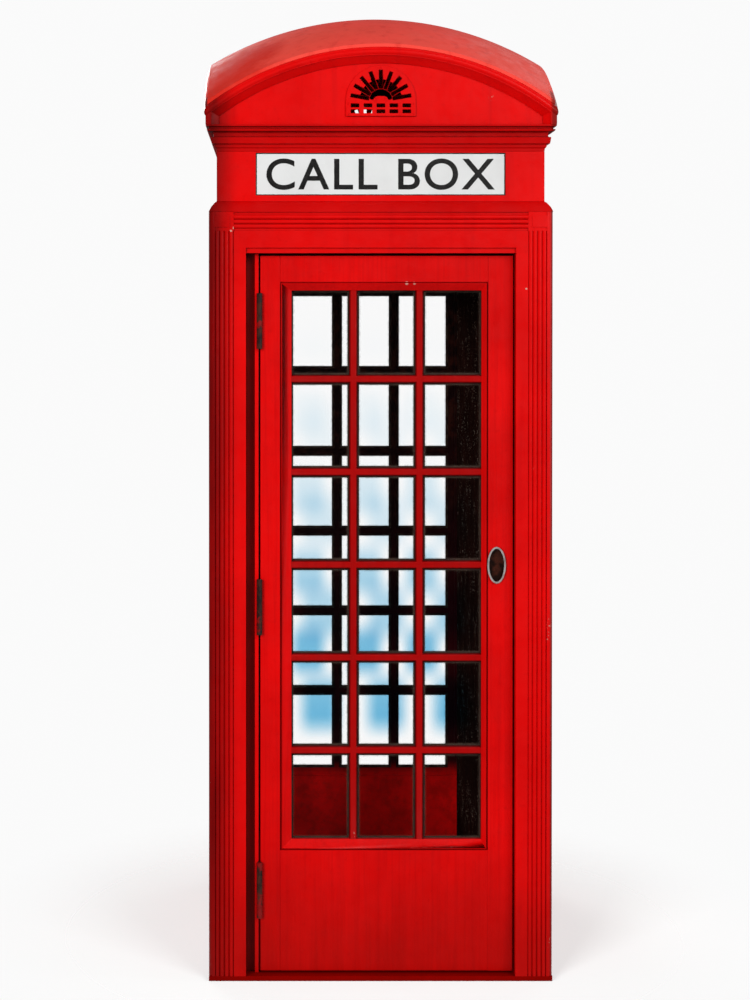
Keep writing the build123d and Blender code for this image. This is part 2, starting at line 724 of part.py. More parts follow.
def write_fixed_sides():
    fixed = {name: degrees for name, degrees in SIDES.items() if name != "front"}
    for name, degrees in fixed.items():
        save(turned(side_frame(), degrees), f"side_frame_{name}")
        save(turned(glazing_grid(MOULD_SIDE, MOULD_SIDE), degrees), f"glazing_grid_{name}")
    glass = [turned(pane, degrees) for degrees in fixed.values() for pane in panes()]
    save(glass, "fixed_panes")


def write_door():
    save(door_stile_hinge(), "door_stile_hinge")
    save(door_stile_lock(), "door_stile_lock")
    save(door_rail(MOULD_TOP, DOOR_TOP), "door_top_rail")
    save(door_rail(DOOR_BOTTOM, MOULD_BOTTOM), "door_bottom_panel")
    save(door_glazing(glazing_grid(MOULD_HINGE, MOULD_LOCK)), "door_glazing_grid")
    save([door_glazing(pane) for pane in panes()], "door_panes")
    save(door_pull(), "door_pull")
    save([door_hinge(z) for z in HINGE_BOTTOMS], "door_hinge_leaves")


def write_door_surround():
    save(hinge_jamb(), "hinge_jamb")
    save(lock_stop(), "lock_stop")
    save(head_stop(), "head_stop")
    save([frame_hinge(z) for z in HINGE_BOTTOMS], "frame_hinge_leaves")


def write_top():
    for name, degrees in SIDES.items():
        save(turned(frieze(), degrees), f"frieze_{name}")
        save(turned(pediment(), degrees), f"pediment_{name}")
    save([turned(sign_glass(), degrees) for degrees in SIDES.values()], "sign_glasses")
    save([turned(vent_grille(), degrees) for degrees in SIDES.values()], "vent_grilles")
    save(cornice(), "cornice")
    save(roof_dome(), "roof_dome")


os.makedirs("parts", exist_ok=True)
write_body()
write_fixed_sides()
write_door()
write_door_surround()
write_top()
save(ceiling_panel(), "ceiling_panel")
save(equipment_backboard(), "equipment_backboard")
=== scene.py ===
import json
import math
import random

import bpy
from mathutils import Matrix, Vector


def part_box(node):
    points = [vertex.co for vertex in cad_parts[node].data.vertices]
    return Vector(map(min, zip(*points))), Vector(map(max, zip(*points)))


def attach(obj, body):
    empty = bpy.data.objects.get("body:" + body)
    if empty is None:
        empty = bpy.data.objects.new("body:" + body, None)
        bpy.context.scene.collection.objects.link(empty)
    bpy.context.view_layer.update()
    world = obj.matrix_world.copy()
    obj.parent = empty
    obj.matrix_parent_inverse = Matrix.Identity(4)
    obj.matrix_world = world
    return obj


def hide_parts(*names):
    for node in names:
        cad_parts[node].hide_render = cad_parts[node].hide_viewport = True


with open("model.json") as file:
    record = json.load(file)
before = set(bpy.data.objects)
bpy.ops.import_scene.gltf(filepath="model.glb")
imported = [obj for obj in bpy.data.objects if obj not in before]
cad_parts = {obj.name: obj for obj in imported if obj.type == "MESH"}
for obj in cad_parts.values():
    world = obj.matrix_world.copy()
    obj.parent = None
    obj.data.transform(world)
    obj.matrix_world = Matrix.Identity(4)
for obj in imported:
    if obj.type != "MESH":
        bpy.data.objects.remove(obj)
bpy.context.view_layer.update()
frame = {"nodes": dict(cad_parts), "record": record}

MM = 0.001

# ---- places taken from the frame, in metres ----
SIDES = {"front": 0, "right": 90, "back": 180, "left": 270}
SLOT_OF = {part["node"]: part["material_slot"] for part in frame["record"]["subparts"]}
BODY_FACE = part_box("base_sill")[1].y         # middle of the cabin to the faces of the corner posts
FRAME_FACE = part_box("door_top_rail")[0].y    # front of the door, as deep as the fixed frames
DOOR_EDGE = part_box("door_stile_hinge")[0].x  # edge of the door that carries the hinge leaves

# ---- glazing ----
PANE_COLUMNS = 3
PANE_ROWS = 6
BAR_W = 27 * MM
GLASS_W = 545 * MM           # clear width of a glazed area
PANE_COVER = 4 * MM          # how far a pane runs under the bars
PANE_BACK = 29 * MM          # frame face to the back of a pane
GRID_T = 36 * MM
PUTTY_LAP = 4.8 * MM         # putty behind the bars, just inside their rebate
PUTTY_SIGHT = 3.5 * MM       # putty that shows past the bars
PUTTY_EDGE = 1.2 * MM        # thickness of its thin edge
PUTTY_BACK = 0.6 * MM        # how far it stays inside the back of the grid

# ---- screws ----
SCREW_PROUD = 0.9 * MM
SCREW_SLOT = 0.16            # half width of the slot, as a share of the radius
SCREW_STEPS = 10             # sides of half a head
VENT_SCREW_R = 3.2 * MM
VENT_SCREW_X = 93 * MM       # middle of the vent to a screw beside it
VENT_SCREW_HEIGHTS = (6 * MM, 36 * MM)
VENT_SCREW_TOP = 138.5 * MM
HINGE_H = 159.5 * MM
HINGE_DROP = 3 * MM          # middle hinge below the middle between the other two
HINGE_GAP = 5 * MM           # jamb to the edge of the door
HINGE_SCREW_R = 3.5 * MM
HINGE_SCREW_PROUD = 0.4 * MM
HINGE_SCREW_HEIGHTS = (20 * MM, 60 * MM, 100 * MM, 140 * MM)
HINGE_SCREW_DEPTHS = (22 * MM, 10 * MM)      # behind the front of the door, by turns
BOARD_SCREW_R = 4.5 * MM
BOARD_SCREW_INSET = 37 * MM  # from the upright edges of the backboard
BOARD_SCREW_END = 80 * MM    # from its foot and head
BOARD_SCREWS = 6             # along each edge

# ---- signs ----
TEXT = "CALL BOX"
TEXT_W = 655 * MM
TEXT_H = 90 * MM
TEXT_SIZE = 125 * MM         # font size before the letters are fitted to that width and height
TEXT_WEIGHT = 1.2 * MM       # how much the strokes are thickened
TEXT_HALF_T = 0.25 * MM
TEXT_PROUD = 0.3 * MM        # glass to the middle of a letter's thickness
SIGN_HALF = 358 * MM         # half width of a sign opening
SIGN_LIP = 2.5 * MM          # how far a sign glass runs under its opening
BEAD_W = 3 * MM
BEAD_PROFILE = (             # share of the bead's width, distance in front of the glass
    (0.0, -0.1 * MM),
    (0.0, 3.2 * MM),
    (0.4, 3.0 * MM),
    (1.0, 0.8 * MM),
    (1.0, -0.1 * MM),
)

# ---- roof and edges ----
DOME_T = 8 * MM
DOME_STEPS = 96
DOME_ROUND = 2.0 * MM
EDGE_ROUND = 1.3 * MM
PULL_ROUND = 2.2 * MM
CREASE = math.radians(32)
WELD = 0.02 * MM

# ---- paint ----
FLAKE = (0.62, 0.30, 0.24)   # primer that shows where the paint is chipped
# painted shade: the colour that corners and creases of the red paints darken towards
CORNER_SHADE = (0.055, 0.001, 0.001)
CHIPS = (                    # centres and radii of chips on the castings
    ((-0.418, -0.4915, 2.158), 0.006),
    ((-0.428, -0.4915, 2.150), 0.004),
    ((0.415, -0.4920, 1.985), 0.0035),
)
DOOR_CHIPS = (
    ((0.075, -0.4625, 2.001), 0.006),
    ((0.098, -0.4625, 2.001), 0.005),
)

# ---- studio ----
AIM = (0, 0, 1.4)            # middle of the object, where most lights point
LIGHTS = (                   # name, place, target, size, power, seen in reflections
    ("key", (5.5, -8.5, 6.0), AIM, (5.0, 5.0), 460, True),
    ("front_fill", (-5.0, -9.0, 3.6), AIM, (4.0, 4.0), 690, False),
    ("right_sheen", (5.0, -0.6, 2.2), (0.4, -0.4, 1.4), (2.0, 3.6), 60, True),
    ("top_sheen", (2.6, 3.2, 5.6), (0, 0, 2.4), (2.6, 2.6), 45, True),
    ("back_fill", (-3.0, 6.5, 4.5), AIM, (3.0, 3.0), 420, True),
)
FLOOR_HALF = 6.0
FLOOR_FADE = (0.60, 1.40)    # the floor fades out between these distances from the middle
FLOOR_CLEAR = 0.55           # share of it that is clear before that
CAMERA_PLACE = (-0.300, -5.7925, 1.890)
CAMERA_TILT = 0.557          # degrees below level
CAMERA_LENS = 66.78
CAMERA_SHIFT = (0.099, -0.16)


# ================= node graphs =================

class Graph:
    """A material's node tree with short calls for the nodes it uses."""

    def __init__(self, name):
        self.material = bpy.data.materials.new(name)
        self.material.use_nodes = True
        self.tree = self.material.node_tree
        self.tree.nodes.clear()
        self.output = self.tree.nodes.new("ShaderNodeOutputMaterial")
        self.place = self.node("ShaderNodeTexCoord").outputs["Object"]

    def node(self, kind, inputs=(), **settings):
        made = self.tree.nodes.new(kind)
        for key, value in settings.items():
            setattr(made, key, value)
        for key, value in dict(inputs).items():
            self.feed(made.inputs[key], value)
        return made

    def feed(self, socket, value):
        if isinstance(value, bpy.types.NodeSocket):
            self.tree.links.new(value, socket)
        elif isinstance(value, tuple) and socket.type == "RGBA":
            socket.default_value = (*value[:3], 1)
        else:
            socket.default_value = value

    def math(self, operation, a, b=0.0):
        return self.node("ShaderNodeMath", {0: a, 1: b}, operation=operation).outputs[0]

    def times(self, first, *others):
        for other in others:
            first = self.math("MULTIPLY", first, other)
        return first

    def add(self, a, b):
        return self.math("ADD", a, b)

    def subtract(self, a, b):
        return self.math("SUBTRACT", a, b)

    def stretch(self, value, low, high, to_low=0.0, to_high=1.0, kind="SMOOTHSTEP"):
        """A step from to_low to to_high as value goes from low to high, smooth unless kind says LINEAR."""
        ports = {"Value": value, "From Min": low, "From Max": high, "To Min": to_low, "To Max": to_high}
        return self.node("ShaderNodeMapRange", ports, interpolation_type=kind).outputs[0]

    def scaled(self, factors):
        ports = {"Vector": self.place, "Scale": factors}
        return self.node("ShaderNodeMapping", ports).outputs[0]

    def noise(self, scale, detail=3.0, rough=0.55, coords=None):
        ports = {"Vector": coords or self.place, "Scale": scale, "Detail": detail, "Roughness": rough}
        return self.node("ShaderNodeTexNoise", ports).outputs["Fac"]

    def mix(self, share, a, b):
        made = self.node("ShaderNodeMix", data_type="RGBA")
        self.feed(made.inputs[0], share)
        self.feed(made.inputs[6], a)
        self.feed(made.inputs[7], b)
        return made.outputs[2]

    def axes(self):
        parts = self.node("ShaderNodeSeparateXYZ", {0: self.place})
        return parts.outputs[0], parts.outputs[1], parts.outputs[2]

    def crevice(self, distance):
        """1 in the open and 0 deep in a corner."""
        return self.node("ShaderNodeAmbientOcclusion", {"Distance": distance}, samples=6).outputs["AO"]

    def bump(self, height, distance, strength=1.0, below=None):
        ports = {"Height": height, "Distance": distance, "Strength": strength}
        if below:
            ports["Normal"] = below
        return self.node("ShaderNodeBump", ports).outputs[0]

    def surface(self, **inputs):
        names = {key.replace("_", " "): value for key, value in inputs.items()}
        self.show(self.node("ShaderNodeBsdfPrincipled", names))

    def mixed(self, share, a, b):
        """Two shaders mixed."""
        return self.node("ShaderNodeMixShader", {0: share, 1: a.outputs[0], 2: b.outputs[0]})

    def show(self, shader):
        self.tree.links.new(shader.outputs[0], self.output.inputs[0])


def inward(millimetres):
    """Distance from the middle of the cabin of a face that lies this far behind the corner posts."""
    return BODY_FACE - millimetres * MM


def outward_distance(g):
    """Distance of a point from the middle of the cabin, square in plan."""
    x, y, _ = g.axes()
    return g.math("MAXIMUM", g.math("ABSOLUTE", x), g.math("ABSOLUTE", y))


def spot(g, centre, radius, ragged):
    """1 inside a ragged patch round a point."""
    shift = g.node("ShaderNodeVectorMath", {0: g.place, 1: centre}, operation="DISTANCE").outputs["Value"]
    edge = g.add(shift, g.times(ragged, radius))
    return g.stretch(edge, radius * 1.5, radius * 1.1)


# ================= red paint =================

def faded(g, fresh, tired, broad):
    """Fresh and tired paint in broad patches, with rain streaks and a fine mottle."""
    streak = g.noise(1.0, 4.0, coords=g.scaled((34.0, 34.0, 1.6)))
    colour = g.mix(g.stretch(broad, 0.32, 0.72), fresh, tired)
    colour = g.mix(g.stretch(streak, 0.50, 0.80, 0.0, 0.30), colour, (0.42, 0.0, 0.002))
    return g.mix(g.stretch(g.noise(70.0, 3.0), 0.55, 0.80, 0.0, 0.18), colour, (0.34, 0.0, 0.0))


def grained(g, colour, grain):
    """Darker upright lines where the grain of timber shows through the paint."""
    figure = g.noise(1.0, 5.0, 0.62, coords=g.scaled((95.0, 95.0, 2.4)))
    return g.mix(g.stretch(figure, 0.42, 0.70, 0.0, grain), colour, (0.36, 0.0, 0.001))


def painted_edge_and_ground_shade(g, colour):
    """Painted shade: the left front post darker towards its outer edge, the right front arris darker, and all
    sides darker towards the ground.
    """
    x, y, z = g.axes()
    front = g.stretch(y, -inward(44.5), -inward(26.5))
    uneven = g.stretch(g.noise(1.0, 4.0, coords=g.scaled((30.0, 30.0, 3.0))), 0.3, 0.7, 0.8, 1.0)
    # painted shade: the left front post darker towards its outer edge
    left = g.times(g.stretch(x, -inward(92.5), -inward(6.5), 0.0, 0.88), front, uneven)
    colour = g.mix(left, colour, (0.075, 0.001, 0.001))
    # painted shade: the right front arris darker
    arris_shade = g.times(g.stretch(x, inward(12.5), inward(1.5), 0.0, 0.8), front)
    colour = g.mix(arris_shade, colour, (0.14, 0.006, 0.004))
    # painted shade: darker towards the ground on all sides
    ground_shade = g.times(g.stretch(z, 0.42, 0.03, 0.0, 0.62), uneven)
    return g.mix(ground_shade, colour, (0.24, 0.001, 0.0))


def roof_left_without_sheen(g, colour):
    """Redder, darker paint on the left part of the roof, with an uneven border; the rest keeps the pink of
    chalked paint and painted sheen.
    """
    x, _, _ = g.axes()
    side = g.add(x, g.stretch(g.noise(5.0, 5.0, 0.65), 0.2, 0.8, -0.16, 0.16))
    # the left of the roof redder and darker, without the painted sheen of the rest
    return g.mix(g.stretch(side, -0.16, -0.36, 0.0, 0.9), colour, (0.66, 0.022, 0.012))


def recess_shade(g, colour):
    """Painted shade: darker paint on bars and in grooves that lie well behind the face of the frames."""
    _, _, z = g.axes()
    depth = outward_distance(g)
    below_lintel = g.stretch(z, 2.10, 2.09)
    deep_shade = g.times(g.stretch(depth, inward(43.5), inward(44.7), 0.0, 0.56), below_lintel)
    colour = g.mix(deep_shade, colour, (0.15, 0.001, 0.001))
    deeper_shade = g.times(g.stretch(depth, inward(45.5), inward(50.0), 0.0, 0.75), below_lintel)
    return g.mix(deeper_shade, colour, (0.05, 0.001, 0.001))


def flaked(g, chips):
    """1 where the paint has come off: a few scattered flakes, and the given chips."""
    ragged = g.noise(140.0, 2.0)
    flakes = g.times(g.stretch(g.noise(9.0, 2.0), 0.72, 0.76), g.stretch(ragged, 0.62, 0.66, 0.0, 0.7))
    for centre, radius in chips:
        flakes = g.math("MAXIMUM", flakes, spot(g, centre, radius, ragged))
    return flakes


def inside_cabin(g):
    """1 on faces inside the cabin, below its ceiling."""
    _, _, z = g.axes()
    return g.times(g.stretch(outward_distance(g), inward(50.0), inward(54.0)), g.stretch(z, 2.21, 2.20))


def inner_light_and_shade(g, broad):
    """The paint inside the cabin: bright red low down, a painted pool of light, and painted shade above,
    maroon and then mottled near black towards the top.
    """
    _, _, z = g.axes()
    mottled_shade = g.mix(g.stretch(g.noise(26.0, 5.0, 0.7), 0.42, 0.66), (0.012, 0.002, 0.002), (0.05, 0.010, 0.006))
    maroon_shade = g.mix(g.stretch(broad, 0.3, 0.7), (0.055, 0.001, 0.004), (0.02, 0.001, 0.002))
    upper = g.mix(g.stretch(z, 0.9, 1.7), maroon_shade, mottled_shade)
    lit_low_red = g.mix(g.stretch(g.noise(18.0, 5.0, 0.7), 0.35, 0.7), (0.95, 0.003, 0.003), (0.62, 0.002, 0.002))
    return g.mix(g.stretch(z, 0.36, 0.42), lit_low_red, upper)


def brushed(g, grain):
    """The waves and the orange peel of thick gloss paint, over upright grain on timber."""
    height = g.add(g.times(g.noise(15.0, 2.0), 2.4), g.times(g.noise(260.0, 2.0), 0.22))
    normal = g.bump(height, 0.7 * MM)
    if grain:
        fibres = g.noise(1.0, 5.0, 0.6, coords=g.scaled((240.0, 240.0, 4.0)))
        normal = g.bump(fibres, 0.6 * MM, 0.6, normal)
    return normal


def red_paint(name, fresh, tired, grain=0.0, corner_shade=0.45, rough=(0.32, 0.48), shine=0.16,
              sheen_off_left=False, chips=()):
    """Gloss paint with painted shade in the corners and recesses and on the front posts, faded patches and
    small chips; inside the cabin painted shade above and a painted pool of light low down.
    """
    g = Graph(name)
    broad = g.noise(3.5, 4.0)
    colour = faded(g, fresh, tired, broad)
    if grain:
        colour = grained(g, colour, grain)
    # painted shade on the front posts and towards the ground
    colour = painted_edge_and_ground_shade(g, colour)
    # painted sheen kept off the left of the roof
    if sheen_off_left:
        colour = roof_left_without_sheen(g, colour)
    # painted shade on bars and grooves set well back
    colour = recess_shade(g, colour)
    # painted shade: darker in corners and creases, found by occlusion
    colour = g.mix(g.stretch(g.crevice(0.04), 0.12, 0.80, corner_shade, 0.0), colour, CORNER_SHADE)
    flakes = flaked(g, chips)
    colour = g.mix(flakes, colour, FLAKE)
    inside = inside_cabin(g)
    # inside the cabin: painted shade above and a painted pool of light low down
    colour = g.mix(inside, colour, inner_light_and_shade(g, broad))
    matt = g.times(g.add(flakes, inside), 0.25)
    roughness = g.add(g.stretch(g.noise(22.0, 4.0), 0.3, 0.7, *rough), matt)
    g.surface(Base_Color=colour, Roughness=roughness, Normal=brushed(g, grain), Specular_IOR_Level=shine)
    return g.material


# ================= other materials =================

def rusty_iron():
    """Rusted iron with remains of red paint."""
    g = Graph("rusty_iron")
    rust = g.stretch(g.noise(45.0, 5.0, 0.65), 0.42, 0.64)
    colour = g.mix(rust, (0.020, 0.012, 0.011), (0.085, 0.026, 0.014))
    colour = g.mix(g.stretch(g.noise(24.0, 2.0), 0.56, 0.64, 0.0, 0.85), colour, (0.33, 0.006, 0.006))
    g.surface(Base_Color=colour, Roughness=g.add(g.times(rust, 0.25), 0.55), Metallic=0.35,
              Normal=g.bump(g.noise(420.0, 4.0), 0.6 * MM))
    return g.material


def bright_metal():
    """Worn plating on the rim of the pull, and a still glossy cup painted near black as painted shade."""
    g = Graph("bright_metal")
    _, y, _ = g.axes()
    wear = g.stretch(g.noise(60.0, 5.0, 0.7), 0.45, 0.7)
    cup = g.stretch(y, -inward(23.9), -inward(25.3))
    plating = g.mix(g.times(wear, 0.8), (0.52, 0.50, 0.49), (0.16, 0.12, 0.10))
    # painted shade: the cup near black
    cup_shade = g.mix(g.stretch(g.noise(45.0, 3.0), 0.4, 0.6), (0.016, 0.004, 0.002), (0.07, 0.016, 0.008))
    rough = g.add(g.times(wear, 0.14), g.stretch(cup, 0.0, 1.0, 0.24, 0.10, "LINEAR"))
    normal = g.bump(g.noise(1.0, 3.0, coords=g.scaled((90.0, 90.0, 900.0))), 0.2 * MM, 0.5)
    g.surface(Base_Color=g.mix(cup, plating, cup_shade), Metallic=0.3, Roughness=rough, Normal=normal,
              Specular_IOR_Level=0.9)
    return g.material


def concrete():
    """Trodden concrete with pale grit and painted shade along the walls."""
    g = Graph("concrete")
    colour = g.mix(g.stretch(g.noise(6.0, 6.0), 0.3, 0.7), (0.30, 0.29, 0.27), (0.16, 0.15, 0.14))
    colour = g.mix(g.stretch(g.noise(300.0, 2.0), 0.62, 0.72), colour, (0.44, 0.42, 0.39))
    # painted shade: darker along the walls, found by occlusion
    colour = g.mix(g.stretch(g.crevice(0.08), 0.3, 0.9, 0.8, 0.0), colour, (0.05, 0.045, 0.04))
    g.surface(Base_Color=colour, Roughness=g.stretch(g.noise(40.0), 0.3, 0.7, 0.7, 0.92),
              Normal=g.bump(g.noise(180.0, 5.0), 1.2 * MM))
    return g.material


def cream_paint():
    """Yellowed ceiling paint with stains and painted shade in the corners."""
    g = Graph("cream_paint")
    colour = g.mix(g.stretch(g.noise(5.0, 6.0), 0.35, 0.7), (0.66, 0.60, 0.45), (0.50, 0.42, 0.28))
    # painted shade: darker in the corners, found by occlusion
    colour = g.mix(g.stretch(g.crevice(0.05), 0.3, 0.9, 0.6, 0.0), colour, (0.18, 0.13, 0.08))
    colour = g.mix(g.stretch(g.noise(90.0, 3.0), 0.68, 0.74), colour, (0.30, 0.22, 0.15))
    g.surface(Base_Color=colour, Roughness=g.stretch(g.noise(30.0), 0.3, 0.7, 0.4, 0.6),
              Normal=g.bump(g.noise(150.0, 3.0), 0.5 * MM))
    return g.material


def black_board():
    """A black stained board with scuffs and fine scratches."""
    g = Graph("black_board")
    stain = g.stretch(g.noise(9.0, 6.0, 0.7), 0.4, 0.72)
    colour = g.mix(stain, (0.007, 0.0016, 0.0010), (0.016, 0.0040, 0.0026))
    colour = g.mix(g.stretch(g.noise(130.0, 3.0, 0.7), 0.63, 0.72, 0.0, 0.7), colour, (0.11, 0.06, 0.04))
    scuff = g.times(g.stretch(g.noise(210.0, 1.0), 0.68, 0.74), g.stretch(g.noise(14.0, 3.0), 0.46, 0.60))
    colour = g.mix(scuff, colour, (0.55, 0.42, 0.34))
    normal = g.bump(g.noise(1.0, 4.0, coords=g.scaled((120.0, 120.0, 3.0))), 0.6 * MM)
    g.surface(Base_Color=colour, Roughness=g.stretch(g.noise(20.0), 0.3, 0.7, 0.5, 0.75), Normal=normal,
              Specular_IOR_Level=0.0)
    return g.material


def opal_glass():
    """White glass of the signs, with painted shade along its edges."""
    g = Graph("opal_glass")
    colour = g.mix(g.stretch(g.noise(7.0, 5.0), 0.35, 0.75), (0.75, 0.765, 0.76), (0.69, 0.70, 0.695))
    # painted shade: darker along the edges, found by occlusion
    colour = g.mix(g.stretch(g.crevice(0.010), 0.2, 0.8, 0.75, 0.0), colour, (0.20, 0.17, 0.14))
    colour = g.mix(g.stretch(g.noise(220.0, 2.0), 0.74, 0.80, 0.0, 0.5), colour, (0.45, 0.40, 0.34))
    g.surface(Base_Color=colour, Roughness=g.stretch(g.noise(12.0), 0.3, 0.7, 0.16, 0.28),
              Normal=g.bump(g.noise(5.0, 1.0), 0.4 * MM), Specular_IOR_Level=0.3)
    return g.material


def black_enamel():
    """Black enamel of the letters, slightly faded."""
    g = Graph("black_enamel")
    colour = g.mix(g.stretch(g.noise(120.0, 4.0), 0.4, 0.75), (0.004, 0.004, 0.004), (0.018, 0.016, 0.015))
    g.surface(Base_Color=colour, Roughness=g.stretch(g.noise(60.0), 0.3, 0.7, 0.35, 0.5),
              Normal=g.bump(g.noise(500.0, 2.0), 0.1 * MM))
    return g.material


def putty():
    """Old dark glazing putty."""
    g = Graph("putty")
    colour = g.mix(g.stretch(g.noise(40.0, 5.0), 0.38, 0.66), (0.020, 0.004, 0.004), (0.060, 0.030, 0.018))
    g.surface(Base_Color=colour, Roughness=g.stretch(g.noise(90.0), 0.3, 0.7, 0.6, 0.85),
              Normal=g.bump(g.noise(240.0, 4.0), 0.8 * MM))
    return g.material


# ================= glass =================

def glass_heights():
    low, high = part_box("door_panes")
    return low.z + PANE_COVER, high.z - PANE_COVER


def pane_size():
    low, high = glass_heights()
    width = (GLASS_W - (PANE_COLUMNS - 1) * BAR_W) / PANE_COLUMNS
    height = (high - low - (PANE_ROWS - 1) * BAR_W) / PANE_ROWS
    return width, height


def glass_left(body):
    """The left edge of the clear glass on the door or on a fixed side, in the frame of the front."""
    if body == "door":
        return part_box("door_panes")[0].x + PANE_COVER
    return -GLASS_W / 2


def pane_cells(body):
    """Clear rectangles of one glazed area, in the frame of the front side."""
    width, height = pane_size()
    low, _ = glass_heights()
    for row in range(PANE_ROWS):
        for column in range(PANE_COLUMNS):
            x = glass_left(body) + column * (width + BAR_W)
            z = low + row * (height + BAR_W)
            yield x, x + width, z, z + height


def pane_offset(g, across, low, pane):
    """How far a point is from the middle of its pane along one direction, as a share of the bar spacing."""
    cell = g.math("FRACT", g.math("DIVIDE", g.subtract(across, low - BAR_W / 2), pane + BAR_W))
    return g.math("ABSOLUTE", g.subtract(cell, 0.5))


def pane_rim(g, offset, pane, reach):
    """Rises from 0 to 1 towards the edge of a pane, over a share of the bar spacing."""
    edge = pane / (pane + BAR_W) / 2
    return g.stretch(offset, edge - reach, edge + 0.01)


def along_pane(g):
    """Distance along a side: x on the front and back, y on the left and right."""
    x, y, _ = g.axes()
    facing_y = g.stretch(g.math("ABSOLUTE", y), 0.410, 0.415)
    return g.add(g.times(x, facing_y), g.times(y, g.subtract(1.0, facing_y)))


def painted_sky_reflection(g, rows, columns):
    """A painted sky reflection: a blue tint in the middle of each pane, deeper lower down and none in the
    lowest row.
    """
    _, _, z = g.axes()
    patch = g.times(g.stretch(rows, 0.43, 0.10), g.stretch(columns, 0.43, 0.10))
    lower = g.math("POWER", g.stretch(z, 1.95, 0.72, 0.0, 1.0, "LINEAR"), 2.0)
    share = g.times(patch, g.times(lower, g.stretch(z, 0.645, 0.665)))
    return g.mix(share, (1.0, 1.0, 1.0), (0.36, 0.68, 0.845))


def clear_glass(name, left):
    """Thin clear glass with a painted sky reflection, a blue tint in the middle of the panes, and dirt at
    their edges.
    """
    g = Graph(name)
    _, _, z = g.axes()
    pane_w, pane_h = pane_size()
    rows = pane_offset(g, z, glass_heights()[0], pane_h)
    columns = pane_offset(g, along_pane(g), left, pane_w)
    edges = g.math("MAXIMUM", pane_rim(g, rows, pane_h, 0.035), pane_rim(g, columns, pane_w, 0.05))
    dirt = g.times(edges, g.stretch(g.noise(60.0, 5.0, 0.7), 0.35, 0.7, 0.1, 0.55))
    grey = g.node("ShaderNodeBsdfDiffuse", {"Color": (0.09, 0.06, 0.045), "Roughness": 0.5})
    # the pane colour carries the painted sky reflection
    clear = g.node("ShaderNodeBsdfTransparent", {"Color": painted_sky_reflection(g, rows, columns)})
    gloss = g.node("ShaderNodeBsdfGlossy", {"Color": (1.0, 1.0, 1.0), "Roughness": 0.03})
    fresnel = g.node("ShaderNodeFresnel", {"IOR": 1.15}).outputs[0]
    g.show(g.mixed(fresnel, g.mixed(dirt, clear, grey), gloss))
    return g.material


# ================= meshes =================

def add_piece(name, mesh, material, body):
    piece = bpy.data.objects.new(name, mesh)
    bpy.context.scene.collection.objects.link(piece)
    mesh.materials.clear()
    mesh.materials.append(MATERIALS[material])
    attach(piece, body)
    return piece


def mesh_from(name, points, faces):
    mesh = bpy.data.meshes.new(name)
    mesh.from_pydata([tuple(p) for p in points], [], faces)
    mesh.update()
    return mesh


def join_shapes(shapes):
    """Points and faces of many shapes as one."""
    points, faces = [], []
    for shape_points, shape_faces in shapes:
        first = len(points)
        points.extend(shape_points)
        faces.extend([[first + index for index in face] for face in shape_faces])
    return points, faces


def turned(points, degrees):
    spin = Matrix.Rotation(math.radians(degrees), 3, "Z")
    return [spin @ Vector(p) for p in points]


def on_all_sides(points, faces):
    """One shape, made for the front, on each of the four sides."""
    return join_shapes([(turned(points, degrees), faces) for degrees in SIDES.values()])


def ring_shape(outer, inner, profile):
    """A four-sided frame. outer and inner are (x0, x1, z0, z1), profile is (share from outer to inner, y)."""
    points = []
    for share, y in profile:
        x0, x1, z0, z1 = [o + (i - o) * share for o, i in zip(outer, inner)]
        points += [(x0, y, z0), (x1, y, z0), (x1, y, z1), (x0, y, z1)]
    count = len(profile)
    faces = []
    for level in range(count):
        after = (level + 1) % count
        for corner in range(4):
            step = (corner + 1) % 4
            faces.append([4 * level + corner, 4 * level + step, 4 * after + step, 4 * after + corner])
    return points, faces


def grown(x0, x1, z0, z1, margin):
    """A rectangle made larger by a margin all round, or smaller by a negative one."""
    return x0 - margin, x1 + margin, z0 - margin, z1 + margin


def putty_beads(name, degrees, body):
    """The sloping putty that holds the panes, on the inside of one glazing grid."""
    y_pane = FRAME_FACE + PANE_BACK + 0.1 * MM
    y_back = FRAME_FACE + GRID_T - PUTTY_BACK
    profile = [(0.0, y_pane), (1.0, y_pane), (0.9, y_pane + PUTTY_EDGE), (0.0, y_back)]
    shapes = []
    for cell in pane_cells(body):
        shapes.append(ring_shape(grown(*cell, PUTTY_LAP), grown(*cell, -PUTTY_SIGHT), profile))
    points, faces = join_shapes(shapes)
    return add_piece(name, mesh_from(name, turned(points, degrees), faces), "putty", body)


def sign_beads():
    """A thin dark bead between each sign glass and its opening."""
    low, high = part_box("sign_glasses")
    opening = (-SIGN_HALF, SIGN_HALF, low.z + SIGN_LIP, high.z - SIGN_LIP)
    profile = [(share, low.y - distance) for share, distance in BEAD_PROFILE]
    points, faces = on_all_sides(*ring_shape(opening, grown(*opening, -BEAD_W), profile))
    return add_piece("sign_beads", mesh_from("sign_beads", points, faces), "putty", "cabin")


# ================= screws =================

